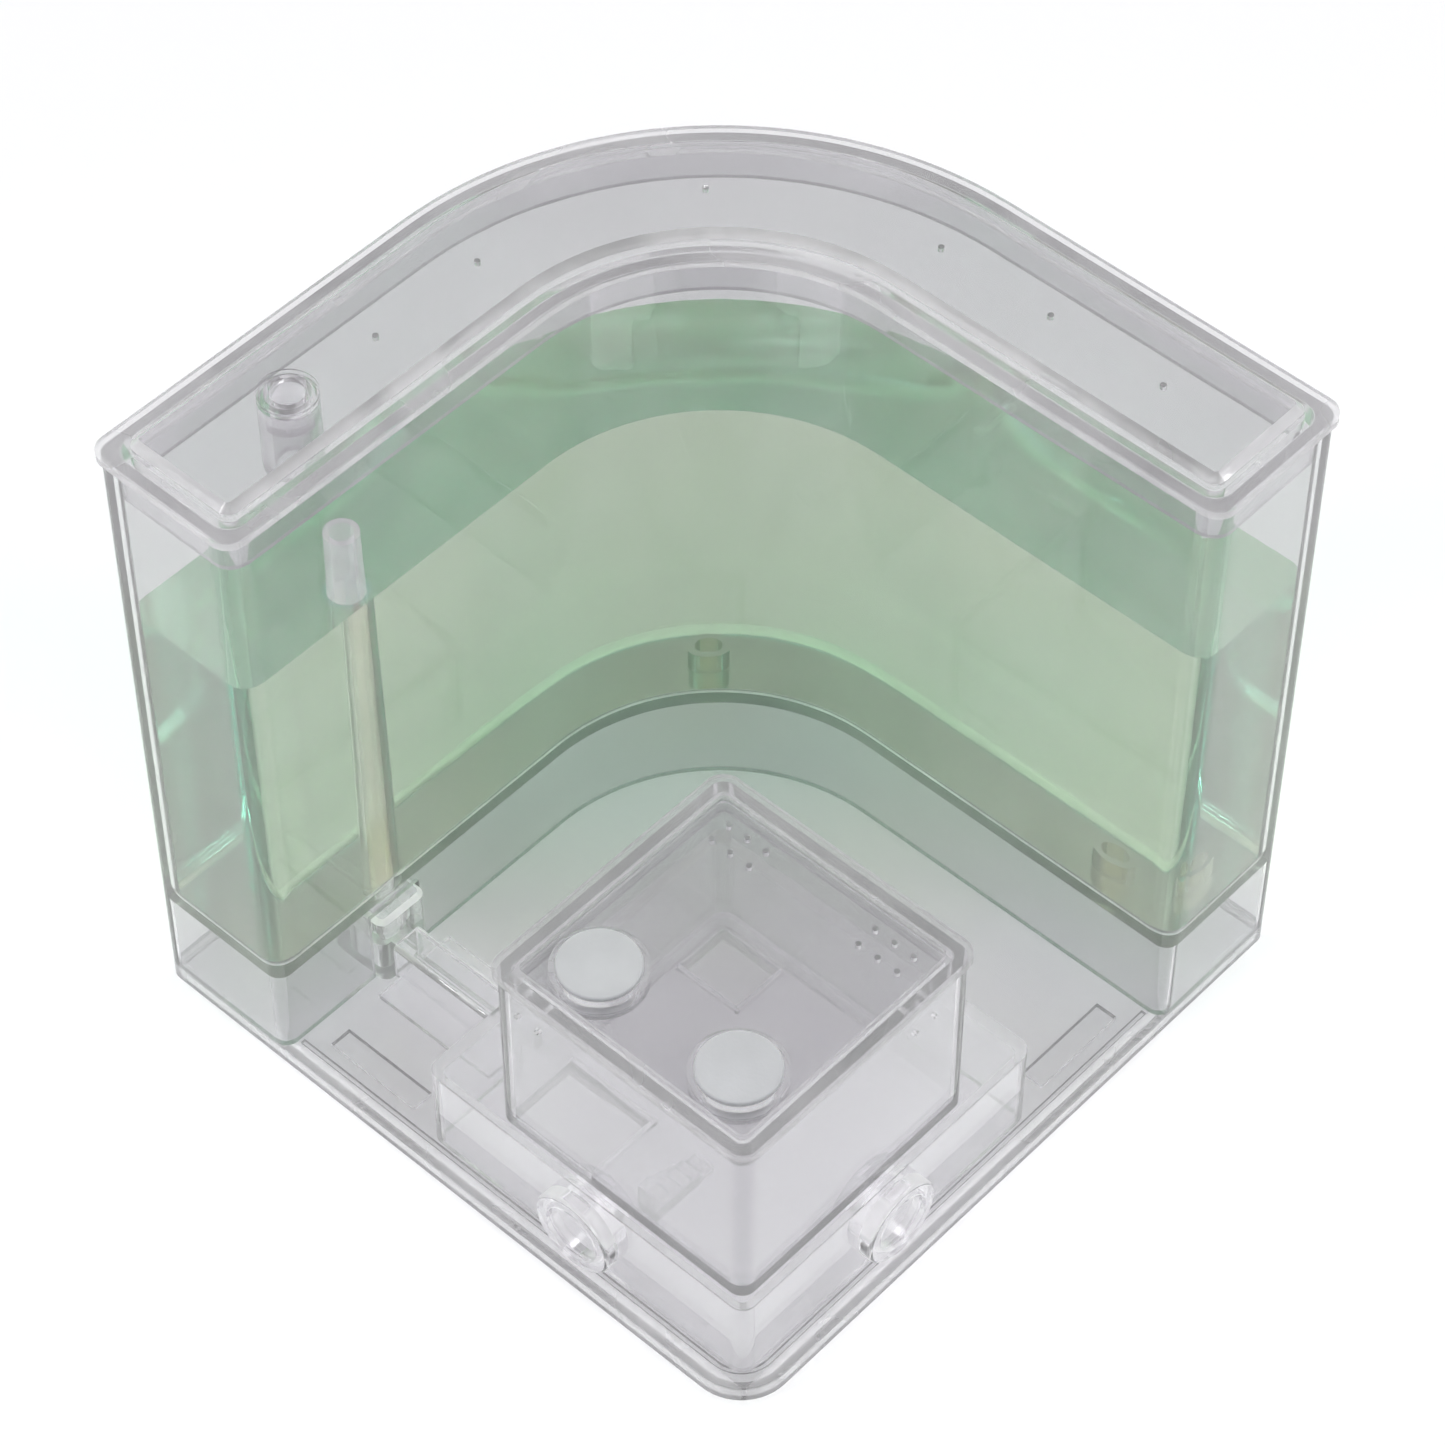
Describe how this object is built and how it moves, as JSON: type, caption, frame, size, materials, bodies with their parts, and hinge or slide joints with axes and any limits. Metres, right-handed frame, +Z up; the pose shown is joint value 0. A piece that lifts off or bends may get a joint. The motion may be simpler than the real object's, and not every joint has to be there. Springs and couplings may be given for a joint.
{
  "type": "gel ant farm",
  "caption": "Clear L-shaped tank of green gel on a square base, linked by a tunnel and tube to a low chamber with a lidded feeding box and soft plugs.",
  "frame": {"origin": "middle of the base footprint, on the surface the base stands on", "axes": "+Z up; one tank arm lies along -X and the other along +Y, and the feeding stack stands towards +X and -Y"},
  "size_m": [0.152, 0.152, 0.1473],
  "materials": {
    "clear_plastic": "clear, polished",
    "green_gel": "translucent, wet-looking",
    "white_silicone": "soft matte"
  },
  "bodies": {
    "base": {"base_tray": "clear_plastic", "tunnel_foot": "clear_plastic", "tunnel_cover": "clear_plastic", "chamber_housing": "clear_plastic"},
    "tank": {"tank_body": "clear_plastic", "gel_block": "green_gel", "passage_tube": "clear_plastic"},
    "tank_lid": {"tank_lid": "clear_plastic"},
    "port_cap": {"lid_port_cap": "clear_plastic"},
    "feeding_box": {"feeding_box": "clear_plastic", "ramp_block": "clear_plastic"},
    "feeding_lid": {"feeding_lid": "clear_plastic"},
    "plug_left": {"feeding_plug_left": "white_silicone"},
    "plug_front": {"feeding_plug_front": "white_silicone"},
    "side_right": {"side_plug_right": "clear_plastic"},
    "side_front": {"side_plug_front": "clear_plastic"}
  },
  "joints": [
    {"name": "tank_lift", "type": "slide", "parent": "base", "child": "tank", "axis": [0, 0, 1], "range_m": [0, 0.03]},
    {"name": "tank_lid_lift", "type": "slide", "parent": "tank", "child": "tank_lid", "axis": [0, 0, 1], "range_m": [0, 0.03]},
    {"name": "port_cap_lift", "type": "slide", "parent": "tank_lid", "child": "port_cap", "axis": [0, 0, 1], "range_m": [0, 0.015]},
    {"name": "feeding_box_lift", "type": "slide", "parent": "base", "child": "feeding_box", "axis": [0, 0, 1], "range_m": [0, 0.03]},
    {"name": "feeding_lid_lift", "type": "slide", "parent": "feeding_box", "child": "feeding_lid", "axis": [0, 0, 1], "range_m": [0, 0.02]},
    {"name": "plug_left_pull", "type": "slide", "parent": "feeding_lid", "child": "plug_left", "axis": [0, 0, 1], "range_m": [0, 0.012]},
    {"name": "plug_front_pull", "type": "slide", "parent": "feeding_lid", "child": "plug_front", "axis": [0, 0, 1], "range_m": [0, 0.012]},
    {"name": "side_right_pull", "type": "slide", "parent": "base", "child": "side_right", "axis": [1, 0, 0], "range_m": [0, 0.012]},
    {"name": "side_front_pull", "type": "slide", "parent": "base", "child": "side_front", "axis": [0, -1, 0], "range_m": [0, 0.012]}
  ]
}
